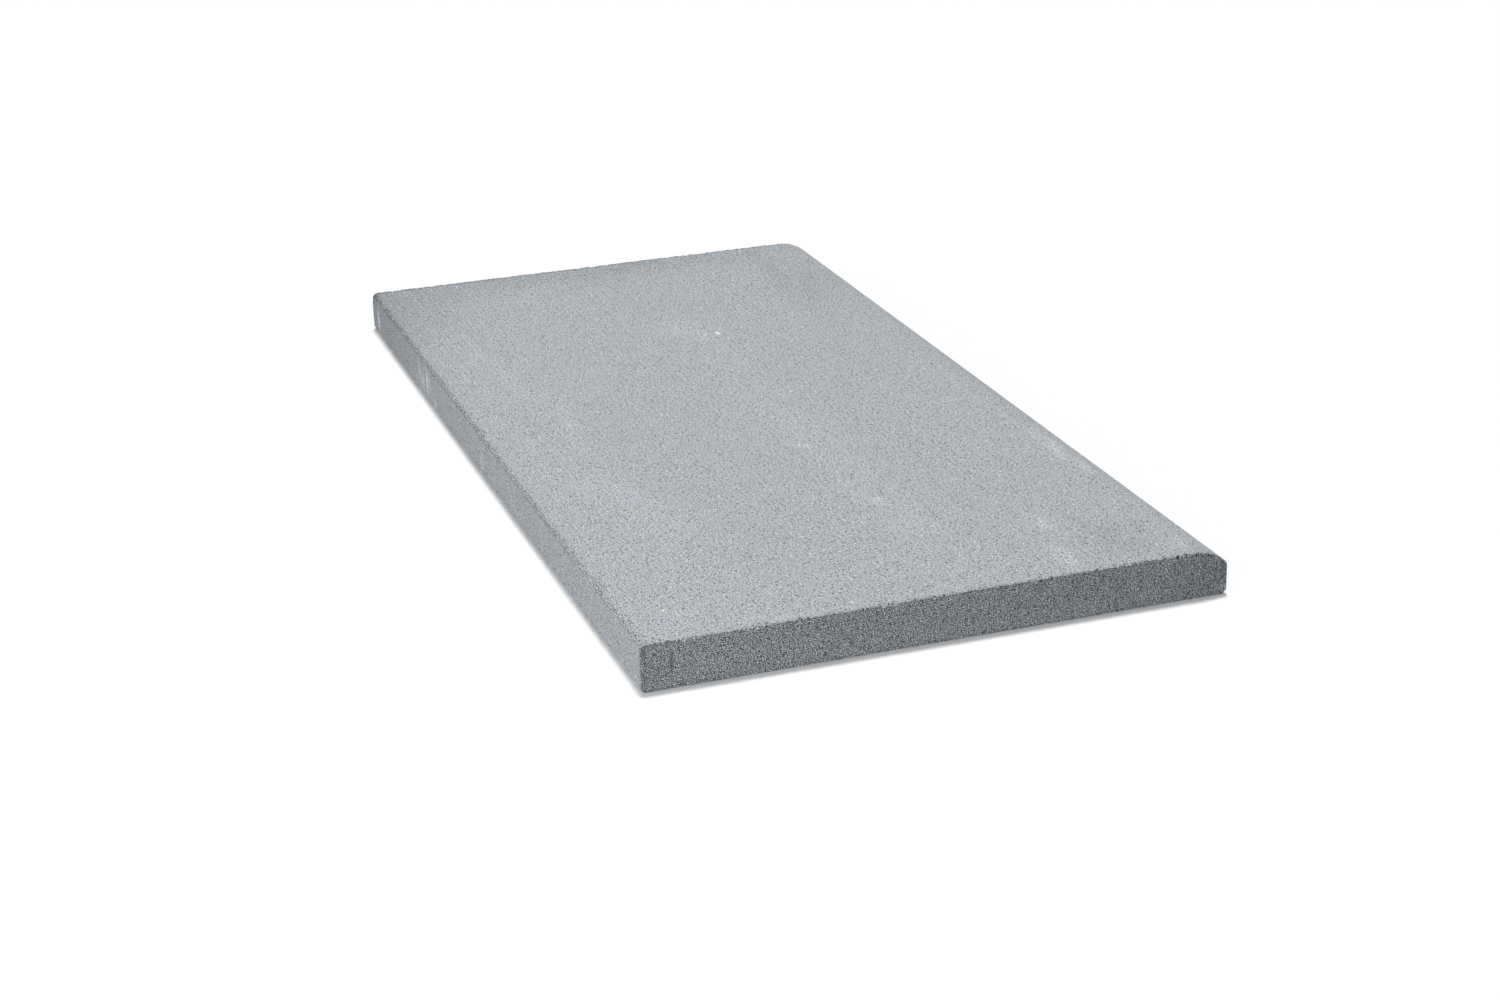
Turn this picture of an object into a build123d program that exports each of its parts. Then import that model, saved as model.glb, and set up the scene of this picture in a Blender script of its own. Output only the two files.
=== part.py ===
"""Concrete paving slab: one pressed unit with a curved nosing along one long side.

The slab lies flat on its bed face. X runs across it from the rear side to the nosed side,
Y runs along it and Z is up. The origin is on the bed face, in the middle of the slab.
One cross-section is constant along the whole length, and both ends are cut square.
"""

import os

from build123d import *

# Overall size, in millimetres.
slab_length = 1000.0
slab_width = 500.0
slab_thickness = 40.0

# Nosing: a curve that leaves the walking face level and falls to the nosed side.
nosing_run = 30.0
nosing_drop = 12.5

# Rear arris: the rounded top edge of the rear side.
rear_arris_radius = 6.0

# Foot chamfers: the cut-back lower edges of the two long sides.
nosed_foot_run = 4.0
nosed_foot_rise = 3.5
rear_foot_run = 2.5
rear_foot_rise = 2.5


def slab_section():
    """The slab's cross-section, drawn looking along the slab, with its bed on the X axis."""
    rear_x = -slab_width / 2
    nosed_x = slab_width / 2

    bed_rear = (rear_x + rear_foot_run, 0)
    bed_nosed = (nosed_x - nosed_foot_run, 0)
    nosed_side_bottom = (nosed_x, nosed_foot_rise)
    nosed_side_top = (nosed_x, slab_thickness - nosing_drop)
    walking_nosed = (nosed_x - nosing_run, slab_thickness)
    walking_rear = (rear_x + rear_arris_radius, slab_thickness)
    rear_side_top = (rear_x, slab_thickness - rear_arris_radius)
    rear_side_bottom = (rear_x, rear_foot_rise)

    with BuildSketch(Plane.XZ) as section:
        with BuildLine():
            Polyline(rear_side_top, rear_side_bottom, bed_rear, bed_nosed, nosed_side_bottom, nosed_side_top)
            TangentArc(walking_nosed, nosed_side_top, tangent=(1, 0))
            Line(walking_nosed, walking_rear)
            TangentArc(walking_rear, rear_side_top, tangent=(-1, 0))
        make_face()
    return section.sketch


def paving_slab():
    """The section carried along the slab's length, half of it to each side of the origin."""
    return extrude(slab_section(), amount=slab_length / 2, both=True)


os.makedirs("parts", exist_ok=True)
slab = paving_slab()
slab.label = "paving_slab"
export_step(slab, f"parts/{slab.label}.step")
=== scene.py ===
"""Dresses the concrete paving slab: its skin with worn arrises, its concrete and the stage it lies on.

X runs across the slab from the rear side to the nosed side, Y along it and Z up. All sizes are in metres.
"""

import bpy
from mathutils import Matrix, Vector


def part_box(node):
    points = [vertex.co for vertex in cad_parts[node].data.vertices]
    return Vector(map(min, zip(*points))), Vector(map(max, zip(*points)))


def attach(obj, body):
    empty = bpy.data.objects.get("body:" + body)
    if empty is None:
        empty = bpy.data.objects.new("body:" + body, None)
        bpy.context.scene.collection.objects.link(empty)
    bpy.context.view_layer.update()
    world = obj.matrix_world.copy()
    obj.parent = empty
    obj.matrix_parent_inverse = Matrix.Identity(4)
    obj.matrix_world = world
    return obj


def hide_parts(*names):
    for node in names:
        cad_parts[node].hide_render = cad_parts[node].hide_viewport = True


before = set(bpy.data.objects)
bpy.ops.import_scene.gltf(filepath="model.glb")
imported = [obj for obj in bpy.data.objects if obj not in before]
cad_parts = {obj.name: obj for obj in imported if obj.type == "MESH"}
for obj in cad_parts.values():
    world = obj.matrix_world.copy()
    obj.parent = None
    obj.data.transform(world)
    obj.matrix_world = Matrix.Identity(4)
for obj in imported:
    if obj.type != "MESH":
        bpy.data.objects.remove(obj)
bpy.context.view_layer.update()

import math

import bpy
import numpy as np
from bpy.props import FloatProperty, FloatVectorProperty, PointerProperty
from mathutils import Matrix, Vector

bl_info = {
    "name": "Concrete paving slab",
    "version": (1, 0, 0),
    "blender": (4, 5, 0),
    "location": "3D View > Sidebar > Paving slab",
    "description": "Makes a pressed concrete paving slab with a curved nosing, and a plain studio for it",
    "category": "Object",
}

SLAB_NODE = "paving_slab"
SLAB_PIECE = "concrete_slab"
SLAB_BODY = "root"
MM = 0.001

# Vertex attributes that the concrete reads, and its texture map.
OPEN_GRAIN = "open_grain"
REAR_STRIP = "rear_strip"
LOST_CRUMBS = "lost_crumbs"
TEXTURE_MAP = "OFBake"

# Steps of the slab's mesh. The loop round the slab is halved twice towards the middle of each face.
END_STEPS = 384
SIDE_STEPS = 512
HEIGHT_STEPS = 22
EDGE_RINGS = 10
FOOT_RINGS = 3
SHARP_ANGLE = math.radians(38)


def millimetres(name, description, value):
    """A length property whose default is given in millimetres."""
    return FloatProperty(
        name=name, description=description, default=value * MM,
        unit="LENGTH", subtype="DISTANCE", precision=5,
    )


def share(name, description, value):
    """A plain factor property, from 0 to 1."""
    return FloatProperty(
        name=name, description=description, default=value, min=0.0, max=1.0, subtype="FACTOR"
    )


def strength(name, description, value, unit="NONE"):
    """A light's strength, which is never below 0."""
    return FloatProperty(name=name, description=description, default=value, min=0.0, unit=unit)


def colour(name, description, value):
    """A colour property, in linear light."""
    return FloatVectorProperty(
        name=name, description=description, default=value, min=0.0, max=1.0, size=3, subtype="COLOR"
    )


class SlabShape(bpy.types.PropertyGroup):
    """The slab's section and the wear of its edges."""

    nosing_run: millimetres("Nosing run", "How far in from the nosed side the nosing starts", 30.0)
    nosing_drop: millimetres("Nosing drop", "How far the nosing falls to the nosed side", 12.5)
    rear_radius: millimetres("Rear rounding", "Radius of the rear side's rounded top edge", 6.0)
    nosed_foot_run: millimetres("Nosed foot run", "How far in the nosed side's foot is cut back", 4.0)
    nosed_foot_rise: millimetres("Nosed foot rise", "How far up the nosed side's foot is cut back", 3.5)
    rear_foot_run: millimetres("Rear foot run", "How far in the rear side's foot is cut back", 2.5)
    rear_foot_rise: millimetres("Rear foot rise", "How far up the rear side's foot is cut back", 2.5)
    arris_wear: millimetres("Arris wear", "How far the top edges of the ends are rubbed back", 0.28)
    corner_wear: millimetres("Corner wear", "How far the other sharp edges are rubbed back", 0.1)
    crumb_depth: millimetres("Crumb depth", "How deep the largest crumbs lost from the top edges are", 2.4)
    crumb_size: millimetres("Crumb size", "How wide those crumbs are", 3.6)
    open_relief: millimetres("Open relief", "How uneven the open-grained faces are", 0.06)
    waviness: millimetres("Waviness", "How far the pressed face departs from flat", 0.1)


class ConcreteFinish(bpy.types.PropertyGroup):
    """The colours and grain of the concrete."""

    body_colour: colour("Concrete", "Mean colour of the pressed face", (0.4505, 0.4747, 0.497))
    # Painted shade: the dark colour at the bottom of pits and pinholes.
    pit_shade_colour: colour("Pits", "Colour at the bottom of pits and pinholes", (0.10, 0.11, 0.12))
    speck_colour: colour("Specks", "Colour of the palest grains of sand", (0.88, 0.89, 0.89))
    pressed_grain: millimetres("Pressed grain", "Size of the sand grains on the pressed face", 1.1)
    open_grain: millimetres("Open grain", "Size of the sand grains on open faces", 1.45)
    moulded_grain: millimetres("Moulded grain", "Size of the mottling on the two long sides", 1.3)
    pressed_contrast: share("Pressed contrast", "How far grains differ in tone on the pressed face", 0.38)
    open_contrast: share("Open contrast", "How far grains differ in tone on open faces", 0.95)
    moulded_contrast: share("Moulded contrast", "How far the mottling differs in tone", 0.31)
    strip_contrast: share("Strip contrast", "How far grains differ in tone on the rear strip", 0.6)
    open_tone: share("Open tone", "Tone of the open faces beside the pressed face", 0.915)
    strip_tone: share("Strip tone", "Tone of the open strip along the rear rounding, at the back", 0.62)


class StudioStage(bpy.types.PropertyGroup):
    """The light and the floor."""

    ambient: strength("Ambient", "Light from all round", 0.22)
    key: strength("Key", "Strength of the light overhead", 2.18)
    key_spread: FloatProperty(
        name="Key spread", description="How wide the overhead light looks",
        default=math.radians(12), subtype="ANGLE",
    )
    softbox: strength("Softbox", "Power of the long softbox at the left", 6.4, unit="POWER")
    front_card: strength("Front card", "Power of the low light in front", 4.95, unit="POWER")
    softbox_light: colour("Softbox light", "Colour of the softbox at the left", (0.955, 0.965, 0.979))
    cool_light: colour("Cool light", "Colour of the light in front and all round", (0.908, 0.96, 1.0))
    floor_colour: colour("Floor", "Colour of the floor where it lights the slab", (0.36, 0.36, 0.36))
    floor_seen: colour("Seen floor", "Colour of the floor where it is seen", (1.0, 0.985, 0.976))
    floor_glow: share("Floor glow", "Light that lifts the seen floor to white", 0.13)


# Repeatable noise on a lattice.
HASH_STEPS = np.array([374761393, 668265263, 2147483647], dtype=np.int64)
HASH_SEED = 974634721
HASH_TWIST = 1274126177
HASH_SHIFTS = (13, 15, 16)
HASH_MASK = (1 << 24) - 1


def smooth_step(value, low, high):
    """0 below low, 1 above high and a cubic ease between."""
    part = np.clip((value - low) / (high - low), 0, 1)
    return part * part * (3 - 2 * part)


def lattice_value(lattice, seed):
    """A repeatable number from -1 to 1 for each whole-number point, mixed from its place and the seed."""
    first, second, last = HASH_SHIFTS
    mixed = lattice @ HASH_STEPS + seed * HASH_SEED
    mixed = (mixed ^ (mixed >> first)) * HASH_TWIST
    mixed = (mixed ^ (mixed >> second)) * HASH_TWIST
    return (((mixed ^ (mixed >> last)) & HASH_MASK) / HASH_MASK) * 2 - 1


def noise(points, pitch, seed):
    """Value noise from -1 to 1: lattice values a pitch apart, blended by a smooth step between them."""
    cell = points / pitch
    base = np.floor(cell).astype(np.int64)
    part = smooth_step(cell - base, 0, 1)
    total = np.zeros(len(points))
    for corner in np.ndindex(2, 2, 2):
        weight = np.prod(np.where(np.array(corner) == 1, part, 1 - part), axis=1)
        total += weight * lattice_value(base + np.array(corner), seed)
    return total


class Section:
    """The slab's cross-section and outline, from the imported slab's box and the shape's sizes."""

    def __init__(self, shape):
        low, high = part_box(SLAB_NODE)
        self.rear_x, self.front_y, self.bed_z = low
        self.nosed_x, self.back_y, self.walking_z = high
        self.shape = shape
        self.rear_start = self.rear_x + shape.rear_radius
        self.nosing_start = self.nosed_x - shape.nosing_run
        self.nosing_radius = (shape.nosing_run**2 + shape.nosing_drop**2) / (2 * shape.nosing_drop)

    def top(self, x):
        """Height of the upper surface: level, with a circle falling away to each long side."""
        rear = np.clip(self.rear_start - x, 0, self.shape.rear_radius)
        nosing = np.clip(x - self.nosing_start, 0, self.shape.nosing_run)
        rear_fall = self.shape.rear_radius - np.sqrt(self.shape.rear_radius**2 - rear**2)
        nosing_fall = self.nosing_radius - np.sqrt(self.nosing_radius**2 - nosing**2)
        return self.walking_z - rear_fall - nosing_fall

    def bed(self, x):
        """Height of the lower surface: level, with a straight chamfer up to each long side."""
        rear = np.clip(1 - (x - self.rear_x) / self.shape.rear_foot_run, 0, 1)
        nosed = np.clip(1 - (self.nosed_x - x) / self.shape.nosed_foot_run, 0, 1)
        return self.bed_z + rear * self.shape.rear_foot_rise + nosed * self.shape.nosed_foot_rise

    def girth(self, x):
        """Distance along the upper surface: x on the level part, and arc length on the two curves."""
        rear = np.clip((self.rear_start - x) / self.shape.rear_radius, 0, 1)
        nosing = np.clip((x - self.nosing_start) / self.nosing_radius, 0, 1)
        level = np.clip(x, self.rear_start, self.nosing_start)
        return level - self.shape.rear_radius * np.arcsin(rear) + self.nosing_radius * np.arcsin(nosing)

    def to_end(self, y):
        """Distance along the slab to the nearer end."""
        return np.minimum(y - self.front_y, self.back_y - y)

    def arris_distance(self, points):
        """Distance from each surface point to the nearest top edge of an end."""
        x, y, z = points.T
        return np.hypot(self.to_end(y), self.top(x) - z)

    def corner_distance(self, points):
        """Distance from each surface point to the nearest other sharp edge: corners, lower edges, nosing."""
        x, y, z = points.T
        to_end = self.to_end(y)
        to_side = np.minimum(x - self.rear_x, self.nosed_x - x)
        to_nosed = self.nosed_x - x
        edges = (
            np.hypot(to_end, z - self.bed(x)),
            np.hypot(to_end, to_side),
            np.hypot(to_nosed, z - (self.walking_z - self.shape.nosing_drop)),
            np.hypot(to_nosed, z - self.bed_z - self.shape.nosed_foot_rise),
            np.hypot(to_nosed - self.shape.nosed_foot_run, z - self.bed_z),
        )
        return np.min(edges, axis=0)


def rectangle_loop(rear, nosed, front, back, halvings):
    """Points round a rectangle: front, nosed, back and rear sides in turn, with the steps halved so often."""
    across = np.linspace(0, 1, END_STEPS // 2**halvings + 1)[:-1]
    along = np.linspace(0, 1, SIDE_STEPS // 2**halvings + 1)[:-1]
    x = np.concatenate([
        rear + (nosed - rear) * across,
        np.full(len(along), nosed),
        nosed + (rear - nosed) * across,
        np.full(len(along), rear),
    ])
    y = np.concatenate([
        np.full(len(across), front),
        front + (back - front) * along,
        np.full(len(across), back),
        back + (front - back) * along,
    ])
    return x, y


class Skin:
    """Vertices and faces of the slab's skin, gathered part by part, with each face's chart."""

    def __init__(self, section):
        self.section = section
        self.points = np.zeros((0, 3))
        self.faces = []
        self.charts = []

    def add_points(self, x, y, z):
        """Adds a row of points and returns their numbers."""
        first = len(self.points)
        self.points = np.concatenate([self.points, np.stack(np.broadcast_arrays(x, y, z), axis=1)])
        return np.arange(first, len(self.points))

    def inset_loop(self, insets, height, halvings):
        """A loop round the slab, set in by (rear, nosed, end), at the height that a function of x gives."""
        rear, nosed, end = insets
        place = self.section
        x, y = rectangle_loop(
            place.rear_x + rear, place.nosed_x - nosed, place.front_y + end, place.back_y - end, halvings
        )
        return self.add_points(x, y, height(x))

    def add_faces(self, corners, chart):
        """Adds faces given as rows of point numbers, on one chart of the texture map."""
        self.faces.append(corners)
        self.charts.append((chart, corners))

    def band(self, lower, upper, chart):
        """Quads between two loops, given in order from the bed over the sides to the walking face."""
        corners = [lower, np.roll(lower, -1), np.roll(upper, -1), upper]
        self.add_faces(np.stack(corners, axis=1), chart)

    def halving(self, fine, coarse, chart, inwards):
        """Three triangles for each step of a loop and the two steps of the finer loop round it."""
        left, middle, right = fine[::2], fine[1::2], np.roll(fine[::2], -1)
        near, far = coarse, np.roll(coarse, -1)
        triangles = np.concatenate([
            np.stack([left, middle, near], axis=1),
            np.stack([middle, far, near], axis=1),
            np.stack([middle, right, far], axis=1),
        ])
        self.add_faces(triangles if inwards else triangles[:, ::-1], chart)

    def sheet(self, loop, insets, height, halvings, chart, upwards):
        """A regular grid of quads that fills a loop."""
        place = self.section
        rear, nosed, end = insets
        across, along = END_STEPS // 2**halvings, SIDE_STEPS // 2**halvings
        numbers = np.zeros((along + 1, across + 1), dtype=int)
        numbers[0, :across] = loop[:across]
        numbers[:along, across] = loop[across : across + along]
        numbers[along, across:0:-1] = loop[across + along : 2 * across + along]
        numbers[along:0:-1, 0] = loop[2 * across + along :]
        x = np.linspace(place.rear_x + rear, place.nosed_x - nosed, across + 1)[1:-1]
        y = np.linspace(place.front_y + end, place.back_y - end, along + 1)[1:-1]
        inner_x, inner_y = (axis.ravel() for axis in np.meshgrid(x, y))
        inner = self.add_points(inner_x, inner_y, height(inner_x))
        numbers[1:-1, 1:-1] = inner.reshape(along - 1, across - 1)
        quads = np.stack(
            [numbers[:-1, :-1], numbers[:-1, 1:], numbers[1:, 1:], numbers[1:, :-1]], axis=2
        ).reshape(-1, 4)
        self.add_faces(quads if upwards else quads[:, ::-1], chart)


# Insets of the rings on the walking face and the bed.
END_BAND = 18 * MM
END_CROWDING = 1.9
NOSING_CROWDING = 1.25
FOOT_BAND = 3 * MM
HALVING_GAPS = (5 * MM, 15 * MM)
BED_HALVING_GAPS = (5 * MM, 15 * MM, 35 * MM)
HEIGHT_CROWDING = 0.82


def walking_insets(section):
    """Insets of the walking face's rings from the edge inwards, by angle on curves, closer at the ends."""
    step = np.linspace(0, 1, EDGE_RINGS + 1)
    shape = section.shape
    turn = math.asin(shape.nosing_run / section.nosing_radius) * (1 - step**NOSING_CROWDING)
    rear = shape.rear_radius * (1 - np.cos(step * math.pi / 2))
    nosed = shape.nosing_run - section.nosing_radius * np.sin(turn)
    return np.stack([rear, nosed, END_BAND * step**END_CROWDING], axis=1)


def bed_insets(section):
    """Insets of the bed's rings from the edge inwards: half the chamfer, all of it and one ring more."""
    shape = section.shape
    step = np.linspace(0, 1, FOOT_RINGS + 1)[:, None]
    reach = np.array([shape.rear_foot_run, shape.nosed_foot_run, FOOT_BAND])
    chamfer = np.minimum(step * FOOT_RINGS / (FOOT_RINGS - 1), 1) * reach
    past_chamfer = np.maximum(step * FOOT_RINGS - (FOOT_RINGS - 1), 0) * FOOT_BAND
    return chamfer + past_chamfer


def slab_skin(section):
    """The slab's closed skin: loops up its sides, then rings and a grid over the walking face and the bed."""
    skin = Skin(section)
    step = np.linspace(0, 1, HEIGHT_STEPS + 1)
    eased = 0.5 - 0.5 * np.cos(math.pi * step)
    shares = step + (eased - step) * HEIGHT_CROWDING
    edge = (0.0, 0.0, 0.0)
    rows = [
        skin.inset_loop(edge, lambda x, s=s: section.bed(x) + (section.top(x) - section.bed(x)) * s, 0)
        for s in shares
    ]
    for lower, upper in zip(rows, rows[1:]):
        skin.band(lower, upper, "side")

    def cover(loop, insets, gaps, height, chart, upwards):
        """Rings from the edge loop inwards, then halved loops, then a grid in the middle."""
        for inset in insets[1:]:
            ring = skin.inset_loop(inset, height, 0)
            skin.band(*((loop, ring) if upwards else (ring, loop)), chart)
            loop = ring
        inset = insets[-1]
        for halvings, gap in enumerate(gaps, start=1):
            inset = insets[-1] + gap
            ring = skin.inset_loop(inset, height, halvings)
            skin.halving(loop, ring, chart, upwards)
            loop = ring
        skin.sheet(loop, inset, height, len(gaps), chart, upwards)

    cover(rows[-1], walking_insets(section), HALVING_GAPS, section.top, "walking", True)
    cover(rows[0], bed_insets(section), BED_HALVING_GAPS, section.bed, "bed", False)
    return skin


def outward_normals(points, faces):
    """Each point's normal: the sum of its faces' normals, by area, made one long.

    A face's normal is the cross of its diagonals. For a triangle, the same corners give two of its sides.
    """
    total = np.zeros_like(points)
    for corners in faces:
        place = points[corners]
        across = np.cross(place[:, 2] - place[:, 0], place[:, -1] - place[:, 1])
        for column in corners.T:
            for axis in range(3):
                total[:, axis] += np.bincount(column, across[:, axis], minlength=len(points))
    return total / np.linalg.norm(total, axis=1, keepdims=True)


# Relief of the skin.
RUBBED_WIDTH = 0.7 * MM
CRUMB_REACH = 1.9 * MM
CRUMB_RANGE = (0.02, 0.55)
FINE_CRUMBS = 0.4
FINE_CRUMB_SHARE = 0.25
BACK_CRUMBS = 1.8
WAVE_PITCH = 55 * MM
RELIEF_PITCH = 2.6 * MM
PIT_PITCH = 4.2 * MM
PIT_RANGE = (0.42, 0.8)
PIT_SHARE = 1.5
OPEN_EDGE = 1.2 * MM
STRIP_RELIEF = 0.3
STRIP_RISE = (-0.8 * MM, 3.4 * MM)
STRIP_FALL = (6.0 * MM, 9.0 * MM)
STRIP_FADE = (0.8, 1.0)
WAVE_SEED, RELIEF_SEED, PIT_SEED, CRUMB_SEED, FINE_CRUMB_SEED = 11, 23, 37, 41, 53


def open_grain_of(section, points):
    """How far each point shows open grain: 1 on the ends and the bed, 0 on the other faces."""
    x, y, z = points.T
    end = 1 - smooth_step(section.to_end(y), 0, OPEN_EDGE)
    bed = 1 - smooth_step(z - section.bed(x), 0, OPEN_EDGE)
    return np.maximum(end, bed)


def rear_strip_of(section, points):
    """How far each point lies on the open strip along the rear rounding, by its distance round the curve.

    The strip grows stronger from the front end to the back end.
    """
    x, y, z = points.T
    curve_foot = section.walking_z - section.shape.rear_radius
    on_upper = z > section.bed_z + (curve_foot - section.bed_z) / 2
    below = np.maximum(curve_foot - z, 0)
    past_start = section.rear_start - section.girth(x) + np.where(x < section.rear_start, below, 0)
    strip = smooth_step(past_start, *STRIP_RISE) * (1 - smooth_step(past_start, *STRIP_FALL))
    strip *= np.interp(y, (section.front_y, section.back_y), STRIP_FADE)
    return np.where(on_upper, strip, 0)


def lost_crumbs_of(section, points):
    """How deep each point lies in the crumbs lost from the ends' top edges, by coarse and fine noise."""
    size = section.shape.crumb_size
    coarse = smooth_step(noise(points, size, CRUMB_SEED), *CRUMB_RANGE)
    fine = 0.5 + 0.5 * noise(points, size * FINE_CRUMBS, FINE_CRUMB_SEED)
    near = np.exp(-((section.arris_distance(points) / CRUMB_REACH) ** 2))
    along = np.interp(points[:, 1], (section.front_y, section.back_y), (1.0, BACK_CRUMBS))
    return (coarse + FINE_CRUMB_SHARE * fine) * near * along


def relief(section, points, open_grain, rear_strip, lost_crumbs):
    """Depth taken off each point: waves, the pits of open grain, rubbed edges and lost crumbs."""
    shape = section.shape
    wave = 0.5 * shape.waviness * noise(points, WAVE_PITCH, WAVE_SEED)
    uneven = 0.5 + 0.5 * noise(points, RELIEF_PITCH, RELIEF_SEED)
    pits = smooth_step(noise(points, PIT_PITCH, PIT_SEED), *PIT_RANGE)
    rough = np.maximum(open_grain, STRIP_RELIEF * rear_strip)
    opened = shape.open_relief * (uneven + PIT_SHARE * pits) * rough
    rubbed = shape.arris_wear * np.exp(-((section.arris_distance(points) / RUBBED_WIDTH) ** 2))
    rubbed += shape.corner_wear * np.exp(-((section.corner_distance(points) / RUBBED_WIDTH) ** 2))
    return wave + opened + rubbed + shape.crumb_depth * lost_crumbs


# Layout of the texture map: one column for each chart, in metres before it is scaled to the unit square.
MAP_GAP = 4 * MM
BED_MAP_SCALE = 0.5
NOSED_COLUMN, REAR_COLUMN, END_COLUMN, STRIP_COLUMNS = 0, 1, 2, 3


def map_side(section):
    """Length of the texture map's side on the slab."""
    return section.back_y - section.front_y + 2 * MAP_GAP


def texture_places(section, points, charts):
    """Each face corner's place on the texture map, in the faces' order.

    The walking face lies flat by its girth, the bed is drawn at half size, and each side is a strip of its
    height by its length. Both ends share a column.
    """
    length = section.back_y - section.front_y
    walking_width = section.girth(section.nosed_x) - section.girth(section.rear_x)
    strip = section.walking_z - section.bed_z + MAP_GAP
    strips_start = MAP_GAP + walking_width + MAP_GAP
    bed_start = strips_start + STRIP_COLUMNS * strip
    places = []
    for chart, corners in charts:
        x, y, z = np.moveaxis(points[corners], 2, 0)
        along = y - section.front_y
        if chart == "walking":
            u, v = MAP_GAP + section.girth(x) - section.girth(section.rear_x), along
        elif chart == "bed":
            u, v = bed_start + (x - section.rear_x) * BED_MAP_SCALE, along * BED_MAP_SCALE
        else:
            middle_x, middle_y = x.mean(axis=1, keepdims=True), y.mean(axis=1, keepdims=True)
            on_front = middle_y - section.front_y < OPEN_EDGE / 2
            on_back = section.back_y - middle_y < OPEN_EDGE / 2
            on_end = (on_front | on_back) & (abs(x).min(axis=1, keepdims=True) < section.nosed_x)
            column = np.where(on_end, END_COLUMN, np.where(middle_x > 0, NOSED_COLUMN, REAR_COLUMN))
            end_along = x - section.rear_x + on_back * length / 2
            u, v = strips_start + column * strip + z - section.bed_z, np.where(on_end, end_along, along)
        places.append(np.stack([u, v + MAP_GAP], axis=2).reshape(-1, 2))
    return np.concatenate(places) / map_side(section)


def make_slab_mesh(section):
    """The slab's mesh: its skin worn back along its normals, with its masks and its texture map."""
    skin = slab_skin(section)
    normals = outward_normals(skin.points, skin.faces)
    masks = {
        OPEN_GRAIN: open_grain_of(section, skin.points),
        REAR_STRIP: rear_strip_of(section, skin.points),
        LOST_CRUMBS: lost_crumbs_of(section, skin.points),
    }
    depth = relief(section, skin.points, *masks.values())
    worn = skin.points - normals * depth[:, None]

    mesh = bpy.data.meshes.new(SLAB_PIECE)
    mesh.from_pydata(worn.tolist(), [], [face for corners in skin.faces for face in corners.tolist()])
    for name, mask in masks.items():
        mesh.attributes.new(name, "FLOAT", "POINT").data.foreach_set("value", mask.astype(np.float32))
    layer = mesh.uv_layers.new(name=TEXTURE_MAP)
    places = texture_places(section, skin.points, skin.charts)
    layer.uv.foreach_set("vector", places.astype(np.float32).ravel())
    mesh.shade_smooth()
    mesh.set_sharp_from_angle(angle=SHARP_ANGLE)
    if mesh.validate():
        raise RuntimeError("the slab's mesh has faults")
    return mesh


def place(tree, kind, inputs=None, **settings):
    """Adds one node with its settings. Each input, by name or number, is a value or a socket to link."""
    node = tree.nodes.new(kind)
    for name, value in settings.items():
        setattr(node, name, value)
    for key, value in (inputs or {}).items():
        if isinstance(value, bpy.types.NodeSocket):
            tree.links.new(value, node.inputs[key])
        else:
            node.inputs[key].default_value = value
    return node


def calc(tree, operation, *values):
    """The result of one Math node."""
    return place(tree, "ShaderNodeMath", dict(enumerate(values)), operation=operation).outputs[0]


def vector_calc(tree, operation, first, second):
    """The vector that one Vector Math node puts out."""
    return place(tree, "ShaderNodeVectorMath", {0: first, 1: second}, operation=operation).outputs[0]


def centred(tree, value, gain):
    """A value from 0 to 1, moved to lie about 0 and multiplied by the gain."""
    return calc(tree, "MULTIPLY", calc(tree, "SUBTRACT", value, 0.5), gain)


def blend(tree, factor, first, second):
    """A value that goes from first to second with the factor."""
    return place(tree, "ShaderNodeMix", {0: factor, 2: first, 3: second}, data_type="FLOAT").outputs[0]


def tint(tree, factor, first, second, mode="MIX"):
    """A colour that goes from first to second with the factor. Each is a socket or three numbers."""
    inputs = {0: factor}
    for slot, value in ((6, first), (7, second)):
        inputs[slot] = value if isinstance(value, bpy.types.NodeSocket) else (*value, 1.0)
    return place(tree, "ShaderNodeMix", inputs, data_type="RGBA", blend_type=mode).outputs[2]


def ease(tree, value, low, high):
    """0 at low and 1 at high, with a smooth step between. Low may be the larger one."""
    inputs = {"Value": value, "From Min": low, "From Max": high}
    return place(tree, "ShaderNodeMapRange", inputs, interpolation_type="SMOOTHSTEP").outputs[0]


def socket_name(key):
    """A socket's name from a key in lower case, with underscores for spaces."""
    return key.replace("_", " ").title()


def new_group(name, output, **inputs):
    """An empty shader node group with a Vector, these inputs and one output, all sockets named by their keys.

    Returns the tree, its inputs and its output.
    """
    tree = bpy.data.node_groups.new(name, "ShaderNodeTree")
    tree.interface.new_socket("Vector", in_out="INPUT", socket_type="NodeSocketVector")
    for key, default in inputs.items():
        kind = "NodeSocketVector" if isinstance(default, tuple) else "NodeSocketFloat"
        socket = tree.interface.new_socket(socket_name(key), in_out="INPUT", socket_type=kind)
        socket.default_value = default
    tree.interface.new_socket(output, in_out="OUTPUT", socket_type="NodeSocketFloat")
    return tree, tree.nodes.new("NodeGroupInput").outputs, tree.nodes.new("NodeGroupOutput").inputs[0]


def place_group(tree, group, **inputs):
    """Places a node group, with its inputs named by their keys."""
    named = {socket_name(key): value for key, value in inputs.items()}
    return place(tree, "ShaderNodeGroup", named, node_tree=group)


def attribute(tree, name):
    """The value of one vertex attribute."""
    return place(tree, "ShaderNodeAttribute", attribute_name=name).outputs["Fac"]


# Sand grain: each part's weight and the spread of its plain output, and the cells' size beside the noise.
SOFT_WEIGHT, SOFT_SPREAD = 0.78, 0.16
CELL_WEIGHT, CELL_SPREAD = 0.63, 0.289
CELL_SIZE = 0.6

# Ringed grain: where a grain's heart ends and its rim begins, and the plain ring's mean and spread.
GRAIN_HEART, GRAIN_RIM = 0.25, 0.65
RING_MEAN, RING_SPREAD = 0.084, 0.789

# Clouds' gain, and a spot's smallest size and the part of it that is full.
CLOUD_GAIN = 4.0
SPOT_SMALLEST = 0.5
SPOT_FULL = 0.5


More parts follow.
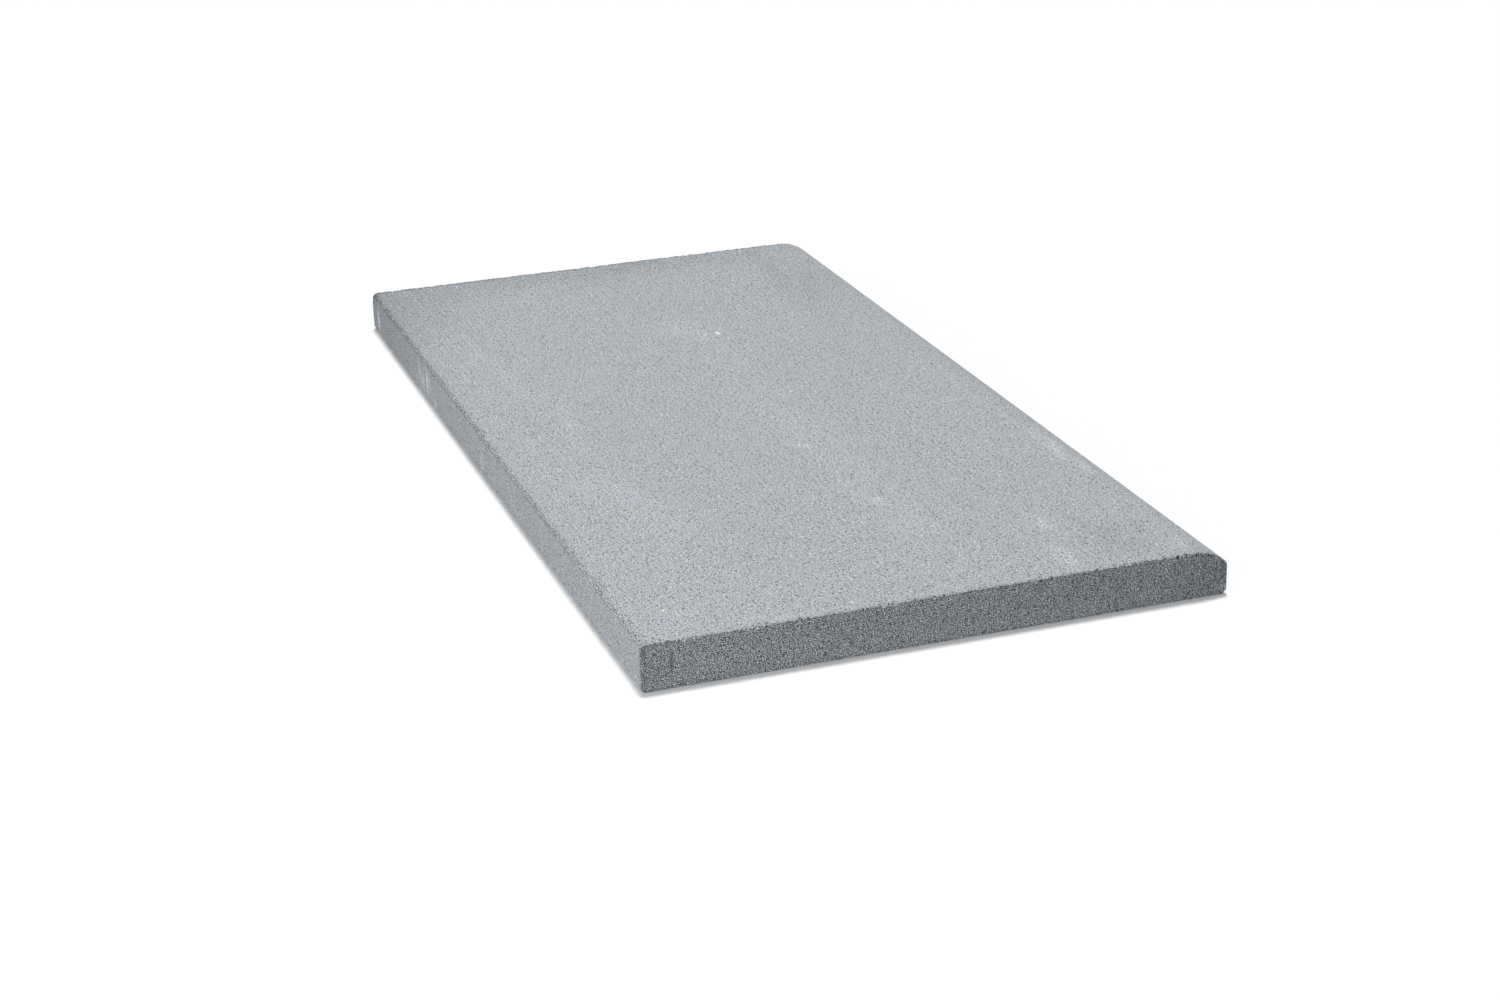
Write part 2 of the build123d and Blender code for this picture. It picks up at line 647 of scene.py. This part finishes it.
def sand_grain_group():
    """Paler and darker grains of sand: flat cells and a soft noise. The tone is spread about 0 by 1."""
    tree, given, result = new_group("Sand grain", "Tone", grain_size=1 * MM)
    scale = calc(tree, "DIVIDE", 1.0, given["Grain Size"])
    inputs = {"Vector": given["Vector"], "Scale": scale, "Detail": 0.0}
    soft = place(tree, "ShaderNodeTexNoise", inputs, noise_dimensions="2D").outputs[0]
    soft = centred(tree, soft, SOFT_WEIGHT / SOFT_SPREAD)
    inputs = {"Vector": given["Vector"], "Scale": calc(tree, "DIVIDE", scale, CELL_SIZE)}
    cells = place(tree, "ShaderNodeTexVoronoi", inputs, voronoi_dimensions="2D").outputs["Color"]
    cell = place(tree, "ShaderNodeSeparateColor", {0: cells}).outputs[0]
    cell = centred(tree, cell, CELL_WEIGHT / CELL_SPREAD)
    tree.links.new(calc(tree, "ADD", soft, cell), result)
    return tree


def ringed_grain_group():
    """Crisp grains of sand, each with a rim of the other tone. The tone is spread about 0 by 1."""
    tree, given, result = new_group("Ringed grain", "Tone", grain_size=1 * MM)
    inputs = {"Vector": given["Vector"], "Scale": calc(tree, "DIVIDE", 1.0, given["Grain Size"])}
    cells = place(tree, "ShaderNodeTexVoronoi", inputs, voronoi_dimensions="2D")
    heart = ease(tree, cells.outputs["Distance"], GRAIN_RIM, GRAIN_HEART)
    ring = calc(tree, "MULTIPLY_ADD", heart, 2.0, -1.0 - RING_MEAN)
    cell = place(tree, "ShaderNodeSeparateColor", {0: cells.outputs["Color"]}).outputs[0]
    cell = centred(tree, cell, 1.0 / (CELL_SPREAD * RING_SPREAD))
    tree.links.new(calc(tree, "MULTIPLY", cell, ring), result)
    return tree


def clouding_group():
    """Slow change of tone, from about -1 to 1, of the given size along each axis."""
    tree, given, result = new_group("Clouding", "Tone", size=(0.1, 0.1, 0.1), detail=2.0)
    scaled = vector_calc(tree, "DIVIDE", given["Vector"], given["Size"])
    inputs = {"Vector": scaled, "Scale": 1.0, "Detail": given["Detail"]}
    cloud = place(tree, "ShaderNodeTexNoise", inputs).outputs[0]
    tree.links.new(centred(tree, cloud, CLOUD_GAIN), result)
    return tree


def scattered_spots_group():
    """Round spots strewn over a flat face, such as pinholes or pale grains. Mask is 1 inside a spot."""
    tree, given, result = new_group("Scattered spots", "Mask", spacing=4 * MM, radius=0.7 * MM, share=0.5)
    scale = calc(tree, "DIVIDE", 1.0, given["Spacing"])
    inputs = {"Vector": given["Vector"], "Scale": scale}
    cells = place(tree, "ShaderNodeTexVoronoi", inputs, voronoi_dimensions="2D")
    parts = place(tree, "ShaderNodeSeparateColor", {0: cells.outputs["Color"]})
    chosen = calc(tree, "LESS_THAN", parts.outputs[0], given["Share"])
    distance = calc(tree, "MULTIPLY", cells.outputs["Distance"], given["Spacing"])
    size = calc(tree, "ADD", parts.outputs[1], SPOT_SMALLEST)
    radius = calc(tree, "MULTIPLY", given["Radius"], size)
    inside = ease(tree, distance, radius, calc(tree, "MULTIPLY", radius, SPOT_FULL))
    tree.links.new(calc(tree, "MULTIPLY", inside, chosen), result)
    return tree


def soft_patch_group():
    """A round or long patch that fades from 1 in the middle to 0 at its rim, in all three directions."""
    tree, given, result = new_group("Soft patch", "Mask", centre=(0.0, 0.0, 0.0), reach=(0.05, 0.05, 0.05))
    offset = vector_calc(tree, "SUBTRACT", given["Vector"], given["Centre"])
    scaled = vector_calc(tree, "DIVIDE", offset, given["Reach"])
    length = place(tree, "ShaderNodeVectorMath", {0: scaled}, operation="LENGTH")
    tree.links.new(ease(tree, length.outputs["Value"], 1.0, 0.0), result)
    return tree


# Marks, in millimetres: name, middle, reach to each side, and change of tone.
WALKING_MARKS = (
    ("bloom", (16, 240, 40), (44, 60, 25), 0.06),
    ("bloom round the white grain", (36, 225, 40), (44, 50, 25), 0.06),
    ("rear streak, far back", (-190, 265, 40), (9, 90, 25), 0.075),
    ("rear streak, back", (-184, 150, 40), (10, 140, 25), 0.075),
    ("rear streak, front", (-167, 10, 40), (11, 130, 25), 0.085),
    ("rear smear", (-186, -165, 40), (40, 60, 25), 0.07),
    ("rear smear, middle", (-168, -215, 40), (34, 60, 25), 0.06),
    ("rear smear, front", (-150, -272, 40), (34, 60, 25), 0.06),
    ("middle band", (30, -110, 40), (60, 560, 25), 0.04),
    ("middle dash", (16, -138, 40), (12, 7, 25), 0.20),
    ("middle fleck", (27, -294, 40), (9, 14, 25), 0.18),
    ("front middle smear", (31, -355, 40), (40, 50, 25), 0.04),
    ("nosing line", (217, -95, 40), (7, 150, 25), 0.07),
    ("nosing smear", (217, -228, 40), (13, 52, 25), 0.27),
    ("nosing smear, front", (227, -282, 40), (9, 36, 25), 0.22),
    ("nosing fleck", (219, -476, 40), (10, 14, 25), 0.14),
    ("front smear, back", (131, -392, 40), (12, 40, 25), 0.13),
    ("front smear", (118, -462, 40), (14, 40, 25), 0.20),
    ("front fleck", (108, -267, 40), (14, 10, 25), 0.10),
    ("cross smear", (182, -75, 40), (34, 8, 25), 0.08),
    ("front dash", (-202, -455, 40), (14, 6, 25), 0.18),
    ("front edge dash", (-123, -492, 40), (22, 8, 25), 0.14),
)
# Darker places: those marked as painted shade stand in for light that falls off there.
DARK_AND_SHADED_MARKS = (
    # The walking face darker towards its back-left corner.
    ("darker back-left corner", (-250, 430, 40), (120, 240, 120), -0.12),
    # Painted shade: the walking face darker towards its back, where the light falls off.
    ("shaded back edge", (-20, 525, 40), (360, 130, 120), -0.12),
    ("damp rear edge", (-240, 300, 40), (36, 480, 8), -0.055),
    ("dark line on the rear rounding", (-249.2, 250, 37.2), (2.4, 900, 2.4), -0.11),
    # Painted shade: the back end and the back of the walking face a little darker.
    ("shaded back end", (0, 515, 40), (800, 120, 60), -0.045),
    ("dark back rim", (-120, 503, 40), (700, 15, 60), -0.42),
    ("dim back corner", (-190, 450, 40), (130, 110, 12), -0.04),
    ("dark back corner", (-249, 500, 39), (12, 34, 9), -0.28),
    # Painted shade: the nosing darker as it turns down towards the nosed side, away from the light.
    ("shaded nosing edge", (250, 0, 28), (22, 900, 60), -0.12),
    # Painted shade: the nosing and the walking face beside it darker towards the back.
    ("shaded nosing band", (190, 350, 40), (70, 190, 60), -0.08),
    # Painted shade: the front end darker at its nosed corner, away from the lights at the left.
    ("shaded front end", (250, -500, 20), (70, 30, 50), -0.12),
    # Painted shade: the rear side's foot darker, where the slab meets the floor.
    ("shaded rear foot", (-250, 0, -1), (8, 1200, 6), -0.2),
    ("damp front corner", (178, -445, 40), (46, 60, 40), -0.09),
)
REAR_MARKS = (
    ("faint drag", (-250, -103, 18), (5, 8, 18), 0.10),
    ("long drag", (-250, 7, 15), (5, 8, 22), 0.26),
    ("low smear", (-250, 199, 8), (5, 14, 9), 0.22),
    ("strong drag", (-250, 235, 20), (5, 9, 28), 0.45),
    ("smear", (-250, 259, 15), (5, 20, 14), 0.27),
    ("short drag", (-250, 285, 12), (5, 8, 14), 0.32),
    ("spot", (-250, 377, 15), (5, 9, 8), 0.2),
    ("back drag", (-250, 472, 17), (5, 9, 20), 0.6),
    ("thin drag", (-250, 222, 24), (5, 5, 18), 0.3),
    ("thin drag", (-250, 246, 22), (5, 4, 22), 0.3),
    ("thin drag", (-250, 268, 26), (5, 5, 14), 0.3),
    ("thin drag", (-250, 1, 20), (5, 4, 18), 0.27),
)
# Marks on the front end: a score line, a darker left corner, painted light at its foot and painted shade at
# its top and nosed half.
FRONT_MARKS = (
    ("score line", (-225, -500, 20), (2.0, 4, 20), -0.5),
    # Painted light: the front end lighter at its foot.
    ("painted light at the foot", (60, -502, -4), (480, 8, 24), 0.34),
    # Painted shade: the front end darker at its top.
    ("painted shade at the top", (0, -502, 42), (1200, 8, 20), -0.10),
    # The front end darker at its left corner.
    ("darker left corner", (-254, -500, 20), (34, 8, 60), -0.16),
    # Painted shade: the front end's nosed half darker, away from the lights at the left.
    ("shaded nosed half", (250, -502, 20), (260, 8, 60), -0.06),
)
WHITE_GRAINS = (
    ("large white grain", (50, 211, 40), (3.0, 8.0, 5), 1.6),
    ("white grain beside it", (37, 211, 40), (2.2, 5.0, 5), 1.0),
    ("white grain", (13, -133, 40), (1.7, 3.2, 4), 1.1),
    ("white grain", (29, -286, 40), (1.7, 3.2, 4), 1.1),
    ("white grain", (57, 10, 40), (1.6, 4.0, 4), 0.9),
    ("white grain", (-49, -230, 40), (1.6, 3.4, 4), 0.9),
    ("white grain", (-213, -443, 40), (1.7, 3.0, 4), 1.1),
    ("white grain", (-71, -485, 40), (1.7, 3.0, 4), 1.3),
)


def sum_of_marks(tree, group, vector, marks):
    """The marks' masks, each times its change of tone, added up."""
    total = None
    for name, middle, reach, change in marks:
        middle_m = [value * MM for value in middle]
        reach_m = [value * MM for value in reach]
        patch = place_group(tree, group, vector=vector, centre=middle_m, reach=reach_m)
        patch.label = name
        part = calc(tree, "MULTIPLY", patch.outputs["Mask"], change)
        total = part if total is None else calc(tree, "ADD", total, part)
    return total


# Slow changes of tone: size along each axis, and detail.
CLOUDS = (0.11, 0.16, 0.11), 3.0
STREAKS = (0.03, 0.6, 0.03), 2.0
MOTTLE = (0.012, 0.012, 0.012), 2.0
WANDER = (10.0, 0.16, 10.0), 1.0
PATCHES = (0.008, 0.02, 0.008), 3.0
DRAG_LINES = (0.05, 0.005, 0.06), 1.0

# How far they change the tone, move the walking face's marks and break up the marks.
CLOUD_TONE = 0.016
STREAK_TONE = 0.012
MOTTLE_TONE = 0.006
WANDER_REACH = 12 * MM
PATCH_TONE = 0.6
DRAG_TONE = 0.04
DRAG_GAIN, DRAG_MEAN = 1.8, 1.1

# Depths below a long side's face where its moulded look starts and is full.
SIDE_EDGE = (3 * MM, 1 * MM)

# Limits of the grain's tone, the painted shade in each hollow left by lost crumbs, and how strongly spots
# show, the painted shade in holes among them.
SPECKLE_LOW, SPECKLE_HIGH = 0.08, 2.4
HOLLOW_SHADE_RANGE = (0.36, 0.54)
HOLLOW_SHADE_TONE = 0.05
STRIP_DOTS = 0.8
SPECK_STRENGTH = 0.9
HOLE_SHADE_STRENGTH = 0.8

# Spots: where their pattern starts, their spacing and radius, and the share of places that have one.
PINHOLES = (1.0, 5.6 * MM, 1.05 * MM, 0.62)
PITS = (2.0, 3.0 * MM, 0.6 * MM, 0.5)
SPECKS = (3.0, 5.8 * MM, 0.8 * MM, 0.28)
PALE_GRAINS = (4.0, 3.0 * MM, 0.65 * MM, 0.5)

# Heights of the bump, and the sheen.
PRESSED_HEIGHT = 0.008 * MM
OPEN_HEIGHT = 0.02 * MM
HOLE_HEIGHT = -0.3 * MM
ROUGHNESS, ROUGHNESS_CHANGE = 0.88, 0.03
SPECULAR_LEVEL = 0.25


def make_concrete(finish, section):
    """Fine pressed concrete: clouded and marked, with grain, pinholes and pale grains, open on the ends;
    painted shade darkens its pits, pinholes and the hollow of each lost crumb, and some marks paint light and
    shade.
    """
    material = bpy.data.materials.new("pressed_concrete")
    material.use_nodes = True
    tree = material.node_tree
    shader = tree.nodes["Principled BSDF"]
    position = place(tree, "ShaderNodeTexCoord").outputs["Object"]
    x = place(tree, "ShaderNodeSeparateXYZ", {0: position}).outputs[0]
    map_place = place(tree, "ShaderNodeUVMap", uv_map=TEXTURE_MAP).outputs[0]
    inputs = {0: map_place, "Scale": map_side(section)}
    flat = place(tree, "ShaderNodeVectorMath", inputs, operation="SCALE").outputs[0]
    open_grain = attribute(tree, OPEN_GRAIN)
    rear_strip = attribute(tree, REAR_STRIP)
    coarse = calc(tree, "MAXIMUM", open_grain, rear_strip)
    sand, ringed = sand_grain_group(), ringed_grain_group()
    cloud, spots, patch = clouding_group(), scattered_spots_group(), soft_patch_group()

    def clouding(size, detail):
        """One slow change of tone."""
        return place_group(tree, cloud, vector=position, size=size, detail=detail).outputs["Tone"]

    def grain(group, size):
        """The tone of grains of one size."""
        return place_group(tree, group, vector=flat, grain_size=size).outputs["Tone"]

    def scattered(start, spacing, radius, part):
        """Spots of their own pattern, which starts from another place of the noise."""
        moved = vector_calc(tree, "ADD", flat, (start, start, 0.0))
        node = place_group(tree, spots, vector=moved, spacing=spacing, radius=radius, share=part)
        return node.outputs["Mask"]

    # Clouds and streaks.
    clouds = clouding(*CLOUDS)
    tone = calc(tree, "MULTIPLY_ADD", clouds, CLOUD_TONE, 1.0)
    tone = calc(tree, "MULTIPLY_ADD", clouding(*STREAKS), STREAK_TONE, tone)
    tone = calc(tree, "MULTIPLY_ADD", clouding(*MOTTLE), MOTTLE_TONE, tone)

    # Patchy smears that wander along the walking face, and darker places, some of them painted shade.
    wander = calc(tree, "MULTIPLY", clouding(*WANDER), WANDER_REACH)
    shift = place(tree, "ShaderNodeCombineXYZ", {0: wander}).outputs[0]
    walking = sum_of_marks(tree, patch, vector_calc(tree, "ADD", position, shift), WALKING_MARKS)
    patchy = calc(tree, "MULTIPLY_ADD", clouding(*PATCHES), PATCH_TONE, 1.0)
    tone = calc(tree, "MULTIPLY_ADD", walking, patchy, tone)
    tone = calc(tree, "ADD", tone, sum_of_marks(tree, patch, position, DARK_AND_SHADED_MARKS))

    # Drag lines on the long sides, marks on the rear side, and the front end's marks, which paint light at
    # its foot and shade at its top and nosed half.
    side_start, side_full = (section.nosed_x - depth for depth in SIDE_EDGE)
    on_side = ease(tree, calc(tree, "ABSOLUTE", x), side_start, side_full)
    on_side = calc(tree, "MULTIPLY", on_side, calc(tree, "SUBTRACT", 1.0, coarse))
    drag_lines = clouding(*DRAG_LINES)
    tone = calc(tree, "MULTIPLY_ADD", calc(tree, "MULTIPLY", drag_lines, on_side), DRAG_TONE, tone)
    dragged = calc(tree, "MAXIMUM", calc(tree, "MULTIPLY_ADD", drag_lines, DRAG_GAIN, DRAG_MEAN), 0.0)
    tone = calc(tree, "MULTIPLY_ADD", sum_of_marks(tree, patch, position, REAR_MARKS), dragged, tone)
    tone = calc(tree, "ADD", tone, sum_of_marks(tree, patch, position, FRONT_MARKS))

    # Grain, in the way of each face.
    pressed = grain(sand, finish.pressed_grain)
    opened = grain(ringed, finish.open_grain)
    contrast = blend(tree, rear_strip, finish.pressed_contrast, finish.strip_contrast)
    pressed_speckle = calc(tree, "MULTIPLY", pressed, contrast)
    open_speckle = calc(tree, "MULTIPLY", opened, finish.open_contrast)
    side_speckle = calc(tree, "MULTIPLY", grain(sand, finish.moulded_grain), finish.moulded_contrast)
    speckle = blend(tree, on_side, blend(tree, open_grain, pressed_speckle, open_speckle), side_speckle)
    speckle = calc(tree, "ADD", speckle, 1.0)
    speckle = calc(tree, "MINIMUM", calc(tree, "MAXIMUM", speckle, SPECKLE_LOW), SPECKLE_HIGH)
    tone = calc(tree, "MULTIPLY", tone, speckle)

    # Darker open faces, and painted shade in each hollow left by lost crumbs.
    shaded_hollows = ease(tree, attribute(tree, LOST_CRUMBS), *HOLLOW_SHADE_RANGE)
    shaded_hollows = calc(tree, "MULTIPLY", shaded_hollows, open_grain)
    darker = ((open_grain, finish.open_tone), (rear_strip, finish.strip_tone), (shaded_hollows, HOLLOW_SHADE_TONE))
    for mask, mask_tone in darker:
        tone = calc(tree, "MULTIPLY", tone, blend(tree, mask, 1.0, mask_tone))

    # Holes darkened with painted shade, and pale grains.
    dotted = calc(tree, "MAXIMUM", open_grain, calc(tree, "MULTIPLY", rear_strip, STRIP_DOTS))
    pits = calc(tree, "MULTIPLY", scattered(*PITS), dotted)
    holes = calc(tree, "MAXIMUM", scattered(*PINHOLES), pits)
    pale = calc(tree, "MULTIPLY", scattered(*PALE_GRAINS), dotted)
    bright = calc(tree, "MULTIPLY", calc(tree, "MAXIMUM", scattered(*SPECKS), pale), SPECK_STRENGTH)
    bright = calc(tree, "MAXIMUM", bright, sum_of_marks(tree, patch, position, WHITE_GRAINS))
    concrete = tint(tree, 1.0, finish.body_colour, tone, mode="MULTIPLY")
    # Painted shade at the bottom of pits and pinholes.
    concrete = tint(tree, calc(tree, "MULTIPLY", holes, HOLE_SHADE_STRENGTH), concrete, finish.pit_shade_colour)
    concrete = tint(tree, bright, concrete, finish.speck_colour)
    tree.links.new(concrete, shader.inputs["Base Color"])

    # Bump and sheen.
    pressed_height = calc(tree, "MULTIPLY", pressed, PRESSED_HEIGHT)
    open_height = calc(tree, "MULTIPLY", opened, OPEN_HEIGHT)
    height = blend(tree, coarse, pressed_height, open_height)
    height = calc(tree, "MULTIPLY_ADD", holes, HOLE_HEIGHT, height)
    bump = place(tree, "ShaderNodeBump", {"Strength": 1.0, "Distance": 1.0, "Height": height})
    tree.links.new(bump.outputs[0], shader.inputs["Normal"])
    roughness = calc(tree, "MULTIPLY_ADD", clouds, ROUGHNESS_CHANGE, ROUGHNESS)
    tree.links.new(roughness, shader.inputs["Roughness"])
    shader.inputs["Specular IOR Level"].default_value = SPECULAR_LEVEL
    return material


class PAVING_OT_make_slab(bpy.types.Operator):
    """Makes the slab in place of its plain solid, with its concrete"""

    bl_idname = "paving.make_slab"
    bl_label = "Make slab"

    def execute(self, context):
        scene = context.scene
        section = Section(scene.paving_shape)
        slab = bpy.data.objects.new(SLAB_PIECE, make_slab_mesh(section))
        scene.collection.objects.link(slab)
        slab.data.materials.append(make_concrete(scene.paving_finish, section))
        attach(slab, SLAB_BODY)
        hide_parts(SLAB_NODE)
        return {"FINISHED"}


# The photograph's viewpoint, and the studio.
CAMERA_YAW = math.radians(18.465)
CAMERA_PITCH = math.radians(21.331)
CAMERA_ROLL = math.radians(-1.695)
CAMERA_PLACE = Vector((-0.7549, -2.2879, 0.8806))
FRAME_WIDTH_PX = 1500
FOCAL_LENGTH_PX = 2685.9
SENSOR_WIDTH_MM = 36.0
KEY_FROM = Vector((0.09, 0.225, 1.0))
SOFTBOX_PLACE = Vector((-1.1, -0.3, 0.2))
SOFTBOX_SIZE = (2.2, 0.34)
FRONT_CARD_PLACE = Vector((-1.2, -2.4, 0.25))
FRONT_CARD_SIZE = (2.0, 0.4)
FLOOR_REACH = 12.0
FLOOR_DROP = 0.2 * MM
WHITE = (1.0, 1.0, 1.0)


def make_camera(scene):
    """The camera at the photograph's viewpoint, turned by yaw, tipped down by pitch and rolled."""
    forward = Vector((
        math.sin(CAMERA_YAW) * math.cos(CAMERA_PITCH),
        math.cos(CAMERA_YAW) * math.cos(CAMERA_PITCH),
        -math.sin(CAMERA_PITCH),
    ))
    level = Vector((math.cos(CAMERA_YAW), -math.sin(CAMERA_YAW), 0.0))
    upright = level.cross(forward)
    right = level * math.cos(CAMERA_ROLL) + upright * math.sin(CAMERA_ROLL)
    up = upright * math.cos(CAMERA_ROLL) - level * math.sin(CAMERA_ROLL)
    data = bpy.data.cameras.new("photo_view")
    data.sensor_width = SENSOR_WIDTH_MM
    data.lens = FOCAL_LENGTH_PX / FRAME_WIDTH_PX * SENSOR_WIDTH_MM
    camera = bpy.data.objects.new("photo_view", data)
    turned = Matrix((right, up, -forward)).transposed().to_4x4()
    camera.matrix_world = Matrix.Translation(CAMERA_PLACE) @ turned
    scene.collection.objects.link(camera)
    scene.camera = camera


def seen_ray(tree):
    """1 for rays that show a thing as it looks: from the camera, in a reflection or through glass."""
    path = place(tree, "ShaderNodeLightPath").outputs
    shown = calc(tree, "MAXIMUM", path["Is Camera Ray"], path["Is Glossy Ray"])
    return calc(tree, "MAXIMUM", shown, path["Is Transmission Ray"])


def make_world(scene, stage):
    """White behind the slab, and even light from all round."""
    world = bpy.data.worlds.new("studio_white")
    world.use_nodes = True
    tree = world.node_tree
    background = tree.nodes["Background"]
    seen = seen_ray(tree)
    light = tint(tree, seen, stage.cool_light, WHITE)
    tree.links.new(light, background.inputs["Color"])
    tree.links.new(blend(tree, seen, stage.ambient, 1.0), background.inputs["Strength"])
    scene.world = world


def make_floor(scene, stage):
    """A flat floor that looks white, keeps the slab's shadow and throws back a little light."""
    sides = ((-1, -1), (1, -1), (1, 1), (-1, 1))
    corners = [(x * FLOOR_REACH, y * FLOOR_REACH, -FLOOR_DROP) for x, y in sides]
    mesh = bpy.data.meshes.new("studio_floor")
    mesh.from_pydata(corners, [], [(0, 1, 2, 3)])
    material = bpy.data.materials.new("studio_floor")
    material.use_nodes = True
    tree = material.node_tree
    tree.nodes.remove(tree.nodes["Principled BSDF"])
    seen = seen_ray(tree)
    paint_colour = tint(tree, seen, stage.floor_colour, stage.floor_seen)
    paint = place(tree, "ShaderNodeBsdfDiffuse", {"Color": paint_colour})
    glow_strength = calc(tree, "MULTIPLY", seen, stage.floor_glow)
    glow = place(tree, "ShaderNodeEmission", {"Color": (*WHITE, 1.0), "Strength": glow_strength})
    both = place(tree, "ShaderNodeAddShader", {0: paint.outputs[0], 1: glow.outputs[0]})
    tree.links.new(both.outputs[0], tree.nodes["Material Output"].inputs["Surface"])
    mesh.materials.append(material)
    floor = bpy.data.objects.new("studio_floor", mesh)
    scene.collection.objects.link(floor)


def make_softbox(name, power, size, light_colour):
    """A lamp that shines from a flat rectangle."""
    light = bpy.data.lights.new(name, "AREA")
    light.energy = power
    light.color = light_colour
    light.shape = "RECTANGLE"
    light.size, light.size_y = size
    return light


def make_lamps(scene, stage):
    """A light overhead, a long low softbox along the slab's rear side and a low one in front."""
    key = bpy.data.lights.new("overhead_light", "SUN")
    key.energy = stage.key
    key.angle = stage.key_spread
    lamps = (
        (key, KEY_FROM),
        (make_softbox("left_softbox", stage.softbox, SOFTBOX_SIZE, stage.softbox_light), SOFTBOX_PLACE),
        (make_softbox("front_card", stage.front_card, FRONT_CARD_SIZE, stage.cool_light), FRONT_CARD_PLACE),
    )
    for light, stand in lamps:
        lamp = bpy.data.objects.new(light.name, light)
        lamp.location = stand
        lamp.rotation_mode = "QUATERNION"
        lamp.rotation_quaternion = stand.to_track_quat("Z", "Y")
        lamp.visible_camera = False
        scene.collection.objects.link(lamp)


class PAVING_OT_make_stage(bpy.types.Operator):
    """Makes the floor, the lights and the camera"""

    bl_idname = "paving.make_stage"
    bl_label = "Make stage"

    def execute(self, context):
        scene = context.scene
        make_camera(scene)
        make_world(scene, scene.paving_stage)
        make_floor(scene, scene.paving_stage)
        make_lamps(scene, scene.paving_stage)
        scene.view_settings.view_transform = "Standard"
        return {"FINISHED"}


class PAVING_PT_panel(bpy.types.Panel):
    """Lists the slab's and the stage's makers"""

    bl_idname = "PAVING_PT_panel"
    bl_label = "Paving slab"
    bl_space_type = "VIEW_3D"
    bl_region_type = "UI"
    bl_category = "Paving slab"

    def draw(self, context):
        self.layout.operator(PAVING_OT_make_slab.bl_idname)
        self.layout.operator(PAVING_OT_make_stage.bl_idname)
        for group in (context.scene.paving_shape, context.scene.paving_finish, context.scene.paving_stage):
            box = self.layout.box()
            for name in group.__annotations__:
                box.prop(group, name)


CLASSES = (
    SlabShape,
    ConcreteFinish,
    StudioStage,
    PAVING_OT_make_slab,
    PAVING_OT_make_stage,
    PAVING_PT_panel,
)


def register():
    """Registers the classes and the scene's settings."""
    for cls in CLASSES:
        bpy.utils.register_class(cls)
    bpy.types.Scene.paving_shape = PointerProperty(type=SlabShape)
    bpy.types.Scene.paving_finish = PointerProperty(type=ConcreteFinish)
    bpy.types.Scene.paving_stage = PointerProperty(type=StudioStage)


def unregister():
    """Takes the settings and the classes away again."""
    del bpy.types.Scene.paving_shape
    del bpy.types.Scene.paving_finish
    del bpy.types.Scene.paving_stage
    for cls in reversed(CLASSES):
        bpy.utils.unregister_class(cls)


def main():
    """Registers the add-on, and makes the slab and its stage."""
    register()
    bpy.ops.paving.make_slab()
    bpy.ops.paving.make_stage()


if __name__ == "__main__":
    main()
